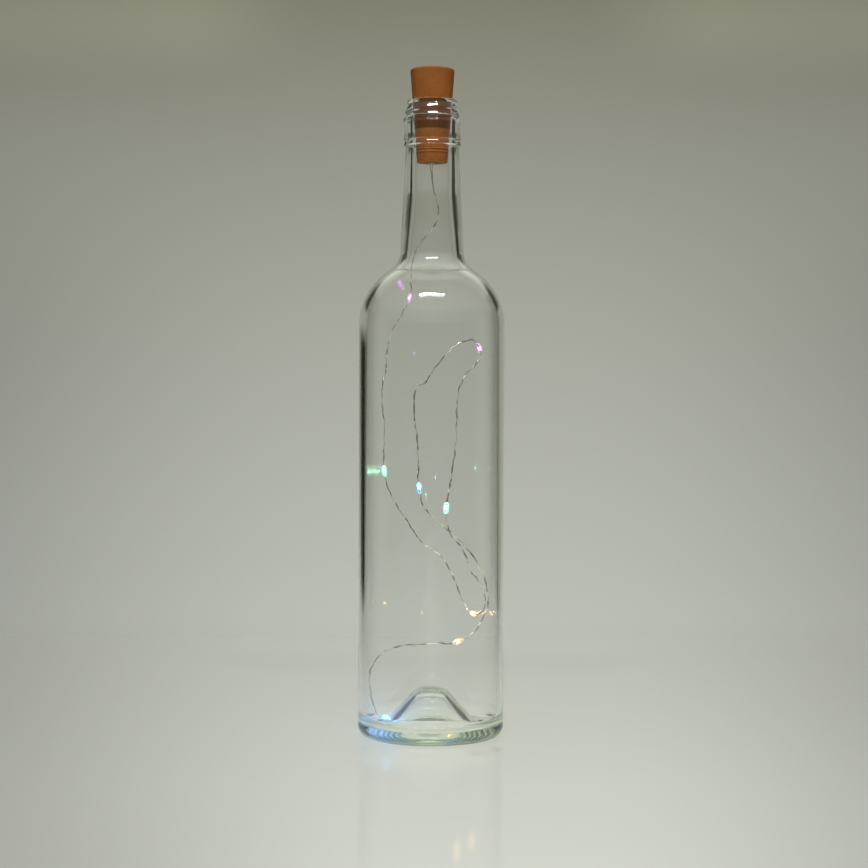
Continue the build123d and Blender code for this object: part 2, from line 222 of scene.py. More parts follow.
class BottleLightStopper(bpy.types.PropertyGroup):
    """Colours of the stopper."""

    cork: FloatVectorProperty(
        name="Cork colour",
        description="Main colour of the stopper's plastic",
        subtype="COLOR",
        size=4,
        default=(0.232, 0.077, 0.017, 1.0),
        min=0.0,
        max=1.0,
    )
    # This dark colour serves both the real flecks and a painted shade band at the mouth.
    fleck_and_painted_shade: FloatVectorProperty(
        name="Dark fleck colour",
        description="Colour of the darker flecks and of the pressed band in the mouth",
        subtype="COLOR",
        size=4,
        default=(0.080, 0.027, 0.006, 1.0),
        min=0.0,
        max=1.0,
    )
    foot: FloatVectorProperty(
        name="Foot colour",
        description="Paler colour of the stopper's underside",
        subtype="COLOR",
        size=4,
        default=(0.25, 0.115, 0.035, 1.0),
        min=0.0,
        max=1.0,
    )
    # Painted shade: the two edges of a dark band painted on the stopper where the mouth's glass shades it.
    painted_shade_low: FloatProperty(
        name="Band's lower edge",
        description="Height of the lower edge of the band that the mouth has pressed",
        default=BOTTLE_HIGH.z - 15.4 * MM,
        unit="LENGTH",
    )
    painted_shade_high: FloatProperty(
        name="Band's upper edge",
        description="Height of the upper edge of the band that the mouth has pressed",
        default=BOTTLE_HIGH.z + 0.4 * MM,
        unit="LENGTH",
    )
    low_diameter: FloatProperty(
        name="Lower diameter",
        description="Diameter of the stopper's foot",
        default=15.4 * MM,
        unit="LENGTH",
    )
    rib_height: FloatProperty(
        name="Rib height",
        description="How far the two ribs stand out near the stopper's foot",
        default=0.18 * MM,
        unit="LENGTH",
    )
    segments: IntProperty(
        name="Segments",
        description="Faces around the stopper's ribs",
        default=128,
    )


class BottleLightString(bpy.types.PropertyGroup):
    """Sizes and colours of the light string."""

    wire_diameter: FloatProperty(
        name="Wire diameter",
        description="Nominal width of the wire, which sets its two strands' size and spacing",
        default=0.6 * MM,
        unit="LENGTH",
    )
    drop_diameter: FloatProperty(
        name="Drop diameter",
        description="Thickness of a resin drop at its middle",
        default=2.7 * MM,
        unit="LENGTH",
    )
    drop_length: FloatProperty(
        name="Drop length",
        description="Length of a resin drop along the wire",
        default=6.5 * MM,
        unit="LENGTH",
    )
    twist_length: FloatProperty(
        name="Twist length",
        description="Length of wire in which its two strands turn once around each other",
        default=14.0 * MM,
        unit="LENGTH",
    )
    kink_height: FloatProperty(
        name="Kink height",
        description="How far the wire's small bends stand off its line",
        default=0.25 * MM,
        unit="LENGTH",
    )
    violet: FloatVectorProperty(
        name="Violet", description="Colour of the violet lights", subtype="COLOR", size=4,
        default=(0.62, 0.22, 0.95, 1.0), min=0.0, max=1.0,
    )
    green: FloatVectorProperty(
        name="Green", description="Colour of the green lights", subtype="COLOR", size=4,
        default=(0.16, 1.00, 0.48, 1.0), min=0.0, max=1.0,
    )
    amber: FloatVectorProperty(
        name="Amber", description="Colour of the amber lights", subtype="COLOR", size=4,
        default=(1.0, 0.58, 0.20, 1.0), min=0.0, max=1.0,
    )
    blue: FloatVectorProperty(
        name="Blue", description="Colour of the blue lights", subtype="COLOR", size=4,
        default=(0.05, 0.36, 1.0, 1.0), min=0.0, max=1.0,
    )


class BottleLightStage(bpy.types.PropertyGroup):
    """Camera, floor and studio light."""

    camera_distance: FloatProperty(
        name="Camera distance",
        description="Distance from the lens to the bottle's axis",
        default=0.928,
        unit="LENGTH",
    )
    camera_height: FloatProperty(
        name="Camera height",
        description="Height of the lens above the table",
        default=0.165,
        unit="LENGTH",
    )
    lens: FloatProperty(
        name="Lens",
        description="Focal length of the lens, in millimetres",
        default=75.7,
    )
    paper: FloatVectorProperty(
        name="Paper colour",
        description="Colour of the floor",
        subtype="COLOR",
        size=4,
        default=(0.475, 0.486, 0.458, 1.0),
        min=0.0,
        max=1.0,
    )
    # Painted shade: the darker colour that the paper takes higher up the backdrop.
    paper_top_painted_shade: FloatVectorProperty(
        name="Backdrop colour",
        description="Colour of the backdrop's upper part",
        subtype="COLOR",
        size=4,
        default=(0.295, 0.294, 0.227, 1.0),
        min=0.0,
        max=1.0,
    )


class BottleLightSettings(bpy.types.PropertyGroup):
    """All the settings of the bottle light."""

    glass: PointerProperty(type=BottleLightGlass)
    stopper: PointerProperty(type=BottleLightStopper)
    string: PointerProperty(type=BottleLightString)
    stage: PointerProperty(type=BottleLightStage)


# Node helpers

def add_node(tree, kind, values=None, **settings):
    """A new node with its settings, and with its inputs linked or set."""
    node = tree.nodes.new(kind)
    for key, value in settings.items():
        setattr(node, key, value)
    for key, value in (values or {}).items():
        if isinstance(value, bpy.types.NodeSocket):
            tree.links.new(value, node.inputs[key])
        else:
            node.inputs[key].default_value = value
    return node


def calc(tree, operation, *values):
    """The output of one math node."""
    return add_node(tree, "ShaderNodeMath", dict(enumerate(values)), operation=operation).outputs[0]


def ramp(tree, value, low, high, to_low=0.0, to_high=1.0):
    """A smooth step of a value from low to high."""
    values = {"Value": value, 1: low, 2: high, 3: to_low, 4: to_high}
    return add_node(tree, "ShaderNodeMapRange", values, interpolation_type="SMOOTHSTEP").outputs[0]


def mix_colour(tree, share, first, second):
    node = add_node(tree, "ShaderNodeMix", {0: share, 6: first, 7: second}, data_type="RGBA")
    return node.outputs[2]


def new_finish(name):
    """A new material with a Principled shader: the material, its tree and the shader."""
    material = bpy.data.materials.new(name)
    material.use_nodes = True
    tree = material.node_tree
    return material, tree, tree.nodes["Principled BSDF"]


def set_shader(shader, **values):
    """Sets the shader's inputs; a name's underscores stand for spaces."""
    for key, value in values.items():
        shader.inputs[key.replace("_", " ")].default_value = value


def object_place(tree):
    return add_node(tree, "ShaderNodeTexCoord").outputs["Object"]


def noise(tree, place, scale, detail=3.0, roughness=0.5):
    values = {"Vector": place, "Scale": scale, "Detail": detail, "Roughness": roughness}
    return add_node(tree, "ShaderNodeTexNoise", values).outputs[0]


def bump(tree, shader, height, strength, distance):
    values = {"Height": height, "Strength": strength, "Distance": distance}
    node = add_node(tree, "ShaderNodeBump", values)
    tree.links.new(node.outputs[0], shader.inputs["Normal"])


def pass_light(tree, shader):
    """Lets lamps and scattered light pass straight through a clear finish."""
    path = add_node(tree, "ShaderNodeLightPath").outputs
    share = calc(tree, "MAXIMUM", path["Is Shadow Ray"], path["Is Diffuse Ray"])
    clear = add_node(tree, "ShaderNodeBsdfTransparent")
    both = add_node(tree, "ShaderNodeMixShader", {0: share, 1: shader.outputs[0], 2: clear.outputs[0]})
    tree.links.new(both.outputs[0], tree.nodes["Material Output"].inputs["Surface"])


def mottled_finish(name, colour, dark, grain, roughness, grain_depth, metallic=0.0):
    """A finish with two tones in soft patches, uneven gloss and a fine grain."""
    material, tree, shader = new_finish(name)
    place = object_place(tree)
    patches = ramp(tree, noise(tree, place, grain, 4.0, 0.6), 0.35, 0.7)
    tree.links.new(mix_colour(tree, patches, colour, dark), shader.inputs["Base Color"])
    gloss = ramp(tree, noise(tree, place, grain * 2.3, 2.0), 0.3, 0.7, roughness * 0.8, roughness * 1.2)
    tree.links.new(gloss, shader.inputs["Roughness"])
    bump(tree, shader, noise(tree, place, grain * 6.0, 3.0), 0.35, grain_depth)
    set_shader(shader, Metallic=metallic)
    return material


# Mesh helpers

def new_object(name, mesh):
    obj = bpy.data.objects.new(name, mesh)
    bpy.context.scene.collection.objects.link(obj)
    return obj


def mesh_from(name, points, faces):
    """A smooth mesh with its faces turned outwards."""
    mesh = bpy.data.meshes.new(name)
    mesh.from_pydata(points, [], faces)
    turned = bmesh.new()
    turned.from_mesh(mesh)
    bmesh.ops.recalc_face_normals(turned, faces=turned.faces)
    turned.to_mesh(mesh)
    turned.free()
    mesh.polygons.foreach_set("use_smooth", [True] * len(mesh.polygons))
    return mesh


def rounded_outline(corners, fit):
    """Points of an outline: each corner has its place, its rounding and the parts of the run to it.

    The chords of a rounding stay within fit of its curve.
    """
    places = [Vector((r, z)) for r, z, _, _ in corners]
    points = [places[0]]
    for index in range(1, len(corners)):
        here, radius, parts = places[index], corners[index][2], corners[index][3]
        arc = [here]
        if radius > 0:
            back = (places[index - 1] - here).normalized()
            ahead = (places[index + 1] - here).normalized()
            half = back.angle(ahead) / 2
            centre = here + (back + ahead).normalized() * radius / math.sin(half)
            first = here + back * radius / math.tan(half) - centre
            turn = first.angle_signed(here + ahead * radius / math.tan(half) - centre)
            pieces = max(3, math.ceil(abs(turn) / (2 * math.acos(1 - fit / radius))))
            arc = []
            for piece in range(pieces + 1):
                around = -turn * piece / pieces
                arc.append(centre + Matrix.Rotation(around, 2) @ first)
        start = points[-1]
        for part in range(1, parts):
            points.append(start.lerp(arc[0], part / parts))
        points.extend(arc)
    return points


def lathe(name, outline, segments, closed=False):
    """A mesh turned about Z from an outline in (radius, height); a radius of 0 is a pole."""
    points, rings, faces = [], [], []
    for place in outline:
        if place.x < 1e-6:
            rings.append([len(points)])
            points.append((0.0, 0.0, place.y))
            continue
        rings.append(list(range(len(points), len(points) + segments)))
        for step in range(segments):
            around = 2 * math.pi * step / segments
            points.append((place.x * math.cos(around), place.x * math.sin(around), place.y))
    pairs = list(zip(rings, rings[1:]))
    if closed:
        pairs.append((rings[-1], rings[0]))
    for low, high in pairs:
        for step in range(segments):
            after = (step + 1) % segments
            face = [low[step % len(low)], low[after % len(low)]]
            face += [high[after % len(high)], high[step % len(high)]]
            faces.append(list(dict.fromkeys(face)))
    return mesh_from(name, points, faces)


# Bottle

def shoulder_corners(glass, inset):
    """The two corners of the shoulder and the end of its lower curve, moved into the glass by inset."""
    body_r = glass.body_diameter / 2
    shoulder_r, flank, neck_fillet_r = 33.0 * MM, 0.6 * MM, 11.5 * MM
    straight_h, neck_root_r = 208.3 * MM, 16.0 * MM
    taper = NECK_TAPER
    reach = shoulder_r + neck_fillet_r
    level = shoulder_r + neck_fillet_r * math.cos(taper) - (body_r - neck_root_r)
    slope = math.acos(level / math.hypot(reach, flank)) - math.atan2(flank, reach)
    outer, inner = shoulder_r - inset, neck_fillet_r + inset
    along = Vector((-math.sin(slope), math.cos(slope)))
    first = Vector((body_r - inset, straight_h + outer * math.tan(slope / 2)))
    second = first + along * (outer * math.tan(slope / 2) + flank + inner * math.tan((slope - taper) / 2))
    root = second + Vector((-math.sin(taper), math.cos(taper))) * inner * math.tan((slope - taper) / 2)
    return first, outer, second, inner, root


def bottle_outline(glass):
    """The glass from its underside's middle, up the outside and down the inside to its raised bottom."""
    body_r, top, wall = glass.body_diameter / 2, glass.height, glass.wall
    out_1, out_r1, out_2, out_r2, out_root = shoulder_corners(glass, 0.0)
    in_1, in_r1, in_2, in_r2, _ = shoulder_corners(glass, wall)
    ring_low = top - 23.5 * MM
    neck_r = out_root.x - (ring_low - out_root.y) * math.tan(NECK_TAPER)
    corners = [
        (0.0, 20.6 * MM, 0.0, 1),
        (5.4 * MM, 20.6 * MM, 7.0 * MM, 1),
        (22.2 * MM, 2.2 * MM, 3.0 * MM, 4),
        (29.0 * MM, 0.0, 0.5 * MM, 2),
        (body_r, 0.0, 5.5 * MM, 1),
        (out_1.x, out_1.y, out_r1, 6),
        (out_2.x, out_2.y, out_r2, 1),
        (neck_r, ring_low, 0.5 * MM, 4),
        (14.5 * MM, ring_low + 0.4 * MM, 0.45 * MM, 1),
        (14.5 * MM, ring_low + 0.95 * MM, 0.5 * MM, 1),
        (14.18 * MM, ring_low + 2.0 * MM, 12.0 * MM, 1),
        (13.75 * MM, ring_low + 2.88 * MM, 0.08 * MM, 1),
        (13.75 * MM, top - 20.5 * MM, 0.04 * MM, 1),
        (14.3 * MM, top - 20.5 * MM, 0.2 * MM, 1),
        (14.3 * MM, top - 11.7 * MM, 0.5 * MM, 2),
        (13.92 * MM, top - 10.46 * MM, 12.0 * MM, 1),
        (13.36 * MM, top - 9.32 * MM, 0.25 * MM, 1),
        (12.7 * MM, top - 9.0 * MM, 0.3 * MM, 1),
        (12.7 * MM, top, 0.45 * MM, 36),
        (12.0 * MM, top, 0.3 * MM, 1),
        (10.2 * MM, top - 2.0 * MM, 0.6 * MM, 3),
        (10.2 * MM, top - 46.0 * MM, 60.0 * MM, 3),
        (in_2.x, in_2.y, in_r2, 3),
        (in_1.x, in_1.y, in_r1, 1),
        (body_r - wall, 6.1 * MM, 7.0 * MM, 6),
        (24.0 * MM, 6.1 * MM, 2.5 * MM, 2),
        (7.4 * MM, 24.4 * MM, 9.0 * MM, 4),
        (0.0, 24.4 * MM, 0.0, 1),
    ]
    return rounded_outline(corners, BOTTLE_FIT)


def relief_tree(material):
    """Geometry Nodes that raise the mouth's thread and press the marks around the heel."""
    tree = bpy.data.node_groups.new("bottle_relief", "GeometryNodeTree")
    face = tree.interface
    face.new_socket("Geometry", in_out="OUTPUT", socket_type="NodeSocketGeometry")
    face.new_socket("Geometry", in_out="INPUT", socket_type="NodeSocketGeometry")
    for name in (
        "Thread Pitch", "Thread Height", "Upper Flank", "Lower Flank", "First Crest", "Thread Start",
        "Thread End", "Thread Inner Radius", "Mark Count", "Mark Depth", "Mark Inner Radius",
        "Mark Outer Radius",
    ):
        face.new_socket(name, in_out="INPUT", socket_type="NodeSocketFloat")
    given = tree.nodes.new("NodeGroupInput").outputs
    place = add_node(tree, "GeometryNodeInputPosition").outputs[0]
    spot = add_node(tree, "ShaderNodeSeparateXYZ", {0: place}).outputs
    squares = [calc(tree, "MULTIPLY", spot[axis], spot[axis]) for axis in (0, 1)]
    radius = calc(tree, "SQRT", calc(tree, "ADD", *squares))
    around = calc(tree, "WRAP", calc(tree, "ARCTAN2", spot[1], spot[0]), 2 * math.pi, 0.0)
    share = calc(tree, "DIVIDE", calc(tree, "SUBTRACT", around, math.pi), 2 * math.pi)
    crest = calc(tree, "MULTIPLY_ADD", share, given["Thread Pitch"], given["First Crest"])
    above = calc(tree, "SUBTRACT", spot[2], crest)
    lifted = calc(tree, "ADD", above, given["Lower Flank"])
    turns = calc(tree, "FLOOR", calc(tree, "DIVIDE", lifted, given["Thread Pitch"]))
    along = calc(tree, "MULTIPLY_ADD", turns, 2 * math.pi, around)
    off = calc(tree, "SUBTRACT", above, calc(tree, "MULTIPLY", turns, given["Thread Pitch"]))
    up = calc(tree, "DIVIDE", calc(tree, "MAXIMUM", off, 0.0), given["Upper Flank"])
    bulge = calc(tree, "MULTIPLY_ADD", up, 0.29, 1.0)
    upper = calc(tree, "MULTIPLY", calc(tree, "SUBTRACT", 1.0, up), bulge)
    lower = ramp(tree, off, calc(tree, "MULTIPLY", given["Lower Flank"], -1.0), 0.0)
    ridge = calc(tree, "MULTIPLY", calc(tree, "MAXIMUM", upper, 0.0), lower)
    fade_in = ramp(tree, along, given["Thread Start"], calc(tree, "ADD", given["Thread Start"], 0.7))
    fade_out = ramp(tree, along, given["Thread End"], calc(tree, "SUBTRACT", given["Thread End"], 0.8))
    outside = calc(tree, "GREATER_THAN", radius, given["Thread Inner Radius"])
    thread = given["Thread Height"]
    for factor in (ridge, fade_in, fade_out, outside):
        thread = calc(tree, "MULTIPLY", thread, factor)
    wave = calc(tree, "COSINE", calc(tree, "MULTIPLY", around, given["Mark Count"]))
    mark = calc(tree, "MULTIPLY", calc(tree, "MULTIPLY_ADD", wave, -0.5, 0.5), given["Mark Depth"])
    edge = calc(tree, "MULTIPLY", given["Mark Depth"], 1.5)
    inner_r, outer_r = given["Mark Inner Radius"], given["Mark Outer Radius"]
    inner = ramp(tree, radius, inner_r, calc(tree, "ADD", inner_r, edge))
    outer = ramp(tree, radius, outer_r, calc(tree, "SUBTRACT", outer_r, edge))
    low = calc(tree, "LESS_THAN", spot[2], 2.0 * MM)
    for factor in (inner, outer, low):
        mark = calc(tree, "MULTIPLY", mark, factor)
    normal = add_node(tree, "GeometryNodeInputNormal").outputs[0]
    rise = calc(tree, "SUBTRACT", thread, mark)
    offset = add_node(tree, "ShaderNodeVectorMath", {0: normal, "Scale": rise}, operation="SCALE").outputs[0]
    moved = add_node(tree, "GeometryNodeSetPosition", {"Geometry": given["Geometry"], "Offset": offset})
    whole = add_node(tree, "GeometryNodeRealizeInstances", {0: moved.outputs[0]})
    dressed = add_node(tree, "GeometryNodeSetMaterial", {"Geometry": whole.outputs[0], "Material": material})
    tree.links.new(dressed.outputs[0], tree.nodes.new("NodeGroupOutput").inputs[0])
    return tree


def apply_nodes(obj, tree, values):
    """Runs a node tree on an object with its inputs set, and keeps the result as a plain mesh."""
    modifier = obj.modifiers.new(tree.name, "NODES")
    modifier.node_group = tree
    for item in tree.interface.items_tree:
        if item.item_type == "SOCKET" and item.in_out == "INPUT" and item.name in values:
            modifier[item.identifier] = values[item.name]
    graph = bpy.context.evaluated_depsgraph_get()
    graph.update()
    made = bpy.data.meshes.new_from_object(obj.evaluated_get(graph))
    obj.modifiers.remove(modifier)
    obj.data = made


def glass_finish(glass):
    """Clear bottle glass with a faint green tint in its thickness, and a painted blue glow around the lowest
    light.
    """
    material, tree, shader = new_finish("clear_glass")
    set_shader(shader, Base_Color=(1.0, 1.0, 1.0, 1.0), Roughness=0.0, IOR=1.52, Transmission_Weight=1.0)
    place = object_place(tree)
    height = add_node(tree, "ShaderNodeSeparateXYZ", {0: place}).outputs[2]
    level = add_node(tree, "ShaderNodeVectorMath", {0: place, 1: (1.0, 1.0, 5.0)}, operation="MULTIPLY")
    ripple = noise(tree, level.outputs[0], 160.0, 1.0)
    ripple = calc(tree, "MULTIPLY", ripple, ramp(tree, height, 14.0 * MM, 4.0 * MM))
    swell = calc(tree, "MULTIPLY", noise(tree, place, 30.0, 1.0), 0.05)
    bump(tree, shader, calc(tree, "MULTIPLY_ADD", ripple, 0.5, swell), 1.0, 0.05 * MM)
    # Painted glow: the glass gives off the glow colour, strongest next to the lowest light and fading
    # further away.
    apart = add_node(tree, "ShaderNodeVectorMath", {0: place, 1: LIGHT_PLACES[-1]}, operation="DISTANCE")
    away = calc(tree, "ADD", apart.outputs["Value"], 2.0 * MM)
    painted_glow_share = calc(tree, "POWER", calc(tree, "DIVIDE", glass.painted_glow_reach, away), 2.4)
    glow = mix_colour(tree, calc(tree, "MINIMUM", painted_glow_share, 1.0), (0.0, 0.0, 0.0, 1.0), tuple(glass.glow))
    tree.links.new(glow, shader.inputs["Emission Color"])
    set_shader(shader, Emission_Strength=1.0)
    pass_light(tree, shader)
    values = {"Color": tuple(glass.tint), "Density": glass.tint_density}
    body = add_node(tree, "ShaderNodeVolumeAbsorption", values)
    tree.links.new(body.outputs[0], tree.nodes["Material Output"].inputs["Volume"])
    return material


class BOTTLE_LIGHT_OT_bottle(bpy.types.Operator):
    """Makes the clear bottle with its threaded mouth and marked heel"""

    bl_idname = "bottle_light.bottle"
    bl_label = "Bottle"

    def execute(self, context):
        glass = context.scene.bottle_light.glass
        material = glass_finish(glass)
        mesh = lathe("clear_bottle", bottle_outline(glass), glass.segments)
        mesh.materials.append(material)
        bottle = new_object("clear_bottle", mesh)
        apply_nodes(bottle, relief_tree(material), {
            "Thread Pitch": glass.thread_pitch,
            "Thread Height": glass.thread_height,
            "Upper Flank": 3.0 * MM,
            "Lower Flank": 0.8 * MM,
            "First Crest": glass.height - 10.2 * MM,
            "Thread Start": math.pi - 0.7,
            "Thread End": 4.1 * math.pi,
            "Thread Inner Radius": 11.9 * MM,
            "Mark Count": glass.segments / 4,
            "Mark Depth": glass.mark_depth,
            "Mark Inner Radius": 32.2 * MM,
            "Mark Outer Radius": 35.8 * MM,
        })
        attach(bottle, "bottle")
        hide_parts("bottle")
        return {"FINISHED"}


# Stopper

def cork_finish(stopper):
    """Matt cork-brown plastic with small flecks, and a band of painted shade where the mouth's threaded
    glass shades it.
    """
    material, tree, shader = new_finish("cork_plastic")
    place = object_place(tree)
    flecks = ramp(tree, noise(tree, place, 900.0, 3.0, 0.6), 0.52, 0.75)
    clouds = ramp(tree, noise(tree, place, 130.0, 2.0), 0.3, 0.75)
    tone = calc(tree, "MULTIPLY_ADD", flecks, 0.35, calc(tree, "MULTIPLY", clouds, 0.25))
    height = add_node(tree, "ShaderNodeSeparateXYZ", {0: place}).outputs[2]
    # Painted shade: a dark band at the mouth's height, standing in for the shade of the mouth's threaded
    # glass.
    low, high = stopper.painted_shade_low, stopper.painted_shade_high
    over, under = ramp(tree, height, low, low + 0.5 * MM), ramp(tree, height, high, high - 0.6 * MM)
    tone = calc(tree, "MAXIMUM", tone, calc(tree, "MULTIPLY", over, under))
    colour = mix_colour(tree, tone, tuple(stopper.cork), tuple(stopper.fleck_and_painted_shade))
    foot = ramp(tree, height, STOPPER_LOW.z + 0.25 * MM, STOPPER_LOW.z + 0.1 * MM)
    colour = mix_colour(tree, foot, colour, tuple(stopper.foot))
    tree.links.new(colour, shader.inputs["Base Color"])
    gloss = ramp(tree, noise(tree, place, 400.0, 2.0), 0.3, 0.7, 0.62, 0.78)
    tree.links.new(gloss, shader.inputs["Roughness"])
    bump(tree, shader, noise(tree, place, 1500.0, 3.0), 0.3, 0.06 * MM)
    set_shader(shader, Specular_IOR_Level=0.08)
    return material


def rib_outline(stopper, height):
    """A low round rib on the stopper's taper, as a closed outline in (radius, height)."""
    share = (height - STOPPER_LOW.z) / (STOPPER_HIGH.z - STOPPER_LOW.z)
    low_r, high_r = stopper.low_diameter / 2, (STOPPER_HIGH.x - STOPPER_LOW.x) / 2
    radius = low_r + (high_r - low_r) * share
    half_width, steps = 0.45 * MM, 12
    points = []
    for step in range(steps):
        turn = 2 * math.pi * step / steps
        out, up = stopper.rib_height * math.cos(turn), half_width * math.sin(turn)
        points.append(Vector((radius + out, height + up)))
    return points


class BOTTLE_LIGHT_OT_stopper(bpy.types.Operator):
    """Gives the stopper and its cap their finish, and makes the two ribs near its foot"""

    bl_idname = "bottle_light.stopper"
    bl_label = "Stopper"

    def execute(self, context):
        stopper = context.scene.bottle_light.stopper
        material = cork_finish(stopper)
        for name in ("stopper_shell", "battery_cap"):
            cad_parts[name].data.materials.clear()
            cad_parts[name].data.materials.append(material)
        for index, height in enumerate((6.7 * MM, 5.1 * MM)):
            outline = rib_outline(stopper, STOPPER_LOW.z + height)
            mesh = lathe(f"stopper_rib_{index + 1}", outline, stopper.segments, closed=True)
            mesh.materials.append(material)
            rib = new_object(mesh.name, mesh)
            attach(rib, "stopper")
        return {"FINISHED"}


# Light string

def route_points():
    """Control points of the string: the leads in the stopper, each stretch, and each light's two ends."""
    lead_x, lead_y, _ = WIRE_ROUTE[0][0]
    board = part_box("circuit_board")[0].z
    exit_z = STOPPER_LOW.z
    points = [Vector((lead_x, lead_y, z)) for z in (board, (board + exit_z) / 2, exit_z)]
    for index, place in enumerate(LIGHT_PLACES):
        points.extend(Vector(p) for p in WIRE_ROUTE[index])
        middle = Vector(place)
        if index + 1 < LIGHT_COUNT:
            axis = (Vector(WIRE_ROUTE[index + 1][0]) - Vector(WIRE_ROUTE[index][-1])).normalized()
        else:
            axis = (Vector(STRING_END) - middle).normalized()
        points.append(middle - axis * LIGHT_REACH)
        points.append(middle + axis * LIGHT_REACH)
    points[-1] = Vector(LIGHT_PLACES[-1]) + axis * STRING_PAST_LIGHT
    return points


def string_line():
    """Points along the string, read from a smooth spline along the route."""
    curve = bpy.data.curves.new("string_route", "CURVE")
    curve.dimensions = "3D"
    curve.resolution_u = 14
    points = route_points()
    spline = curve.splines.new("NURBS")
    spline.points.add(len(points) - 1)
    for control, place in zip(spline.points, points):
        control.co = (*place, 1.0)
    spline.order_u = 3
    spline.use_endpoint_u = True
    carrier = new_object("string_route", curve)
    graph = bpy.context.evaluated_depsgraph_get()
    graph.update()
    mesh = bpy.data.meshes.new_from_object(carrier.evaluated_get(graph))
    line = [v.co.copy() for v in mesh.vertices]
    bpy.data.objects.remove(carrier)
    bpy.data.curves.remove(curve)
    bpy.data.meshes.remove(mesh)
    return line


def line_frames(line):
    """A line's direction at each point, a side that turns as little as it can, and the length so far."""
    ways = []
    for index in range(len(line)):
        ways.append((line[min(index + 1, len(line) - 1)] - line[max(index - 1, 0)]).normalized())
    side = ways[0].orthogonal().normalized()
    sides, lengths = [side], [0.0]
    for index in range(1, len(line)):
        side = ways[index - 1].rotation_difference(ways[index]) @ side
        side = (side - ways[index] * side.dot(ways[index])).normalized()
        sides.append(side)
        lengths.append(lengths[-1] + (line[index] - line[index - 1]).length)
    return ways, sides, lengths


def tube_mesh(name, runs, sides):
    """A mesh of closed tubes: each run is a list of (place, direction, side, radius)."""
    points, faces = [], []
    for run in runs:
        base = len(points)
        for place, way, side, radius in run:
            up = way.cross(side)
            for step in range(sides):
                turn = 2 * math.pi * step / sides
                points.append(place + (side * math.cos(turn) + up * math.sin(turn)) * radius)
        for row in range(len(run) - 1):
            for step in range(sides):
                after = (step + 1) % sides
                low, high = base + row * sides, base + (row + 1) * sides
                faces.append([low + step, low + after, high + after, high + step])
        faces.append(list(range(base, base + sides)))
        last = base + (len(run) - 1) * sides
        faces.append(list(range(last, last + sides)))
    return mesh_from(name, points, faces)


def kink(length, way, side):
    """Small uneven bends that handling leaves in the wire, of unit height."""
    first = math.sin(length / (1.15 * MM)) * math.sin(length / (5.1 * MM) + 1.3)
    second = math.sin(length / (1.4 * MM) + 0.7) * math.cos(length / (3.7 * MM))
    return side * first + way.cross(side) * second


def strand_runs(line, frames, settings):
    """The two strands: side by side and slowly twisted, spread where they leave the stopper."""
    ways, sides, lengths = frames
    runs = []
    close, wide = settings.wire_diameter * 0.4, 0.65 * MM
    strand_r = settings.wire_diameter * 0.28
    for hand in (1, -1):
        run = []
        for place, way, side, length in zip(line, ways, sides, lengths):
            spread = min(max((place.z - SPLICE_HEIGHT) / SPLICE_RISE, 0.0), 1.0)
            spread = spread * spread * (3 - 2 * spread)
            turn = 2 * math.pi * length / settings.twist_length
            twisted = Quaternion(way, turn) @ side
            across = Vector((1.0, 0.0, 0.0))
            aside = twisted.lerp(across, spread).normalized() * (close + (wide - close) * spread)
            place = place + kink(length, way, side) * settings.kink_height * (1 - spread)
            run.append((place + aside * hand, way, side, strand_r))
        runs.append(run)
    return runs


def drop_run(line, frames, place, settings):
    """A resin drop that follows the line around a light's middle."""
    ways, sides, lengths = frames
    nearest = min(range(len(line)), key=lambda i: (line[i] - Vector(place)).length)
    half = settings.drop_length / 2
    run = []
    for index in range(len(line)):
        along = lengths[index] - lengths[nearest]
        if abs(along) < half:
            share = along / half
            radius = settings.drop_diameter / 2 * (1 - abs(share) ** 2.4) ** 0.75
            run.append((line[index], ways[index], sides[index], max(radius, settings.wire_diameter * 0.6)))
    return run


def wire_finish():
    """Silver wire with uneven tarnish: the dark patches are partly painted dark reflection, and the bright,
    glossier patches partly painted glints.
    """
    material, tree, shader = new_finish("silver_wire")
    # Partly painted reflection: patches of dark tarnish and bright silver that make dark stretches and
    # glints along the wire.
    patches = ramp(tree, noise(tree, object_place(tree), 210.0, 2.0), 0.43, 0.57)
    colour = mix_colour(tree, patches, (0.20, 0.18, 0.12, 1.0), (0.95, 0.92, 0.80, 1.0))
    tree.links.new(colour, shader.inputs["Base Color"])
    tree.links.new(ramp(tree, patches, 0.0, 1.0, 0.30, 0.16), shader.inputs["Roughness"])
    set_shader(shader, Metallic=0.7)
    return material


def drop_finish(name, colour, strength):
    """Clear resin that passes its chip's light, with a painted glow in the chip's colour."""
    material, tree, shader = new_finish(name)
    set_shader(shader, Base_Color=(0.97, 0.98, 0.97, 1.0), Roughness=0.04, IOR=1.5, Transmission_Weight=0.85)
    # Painted glow: the resin itself gives off the chip's colour.
    set_shader(shader, Emission_Color=colour, Emission_Strength=strength)
    bump(tree, shader, noise(tree, object_place(tree), 700.0, 2.0), 0.3, 0.05 * MM)
    pass_light(tree, shader)
    return material


def chip_finish(name, colour, strength):
    """A lit chip: its coloured glow and its pale package."""
    material, tree, shader = new_finish(name)
    speckle = ramp(tree, noise(tree, object_place(tree), 2500.0, 2.0), 0.4, 0.6)
    tree.links.new(mix_colour(tree, speckle, (0.9, 0.9, 0.85, 1.0), colour), shader.inputs["Base Color"])
    set_shader(shader, Roughness=0.4, Emission_Color=colour, Emission_Strength=strength)
    return material


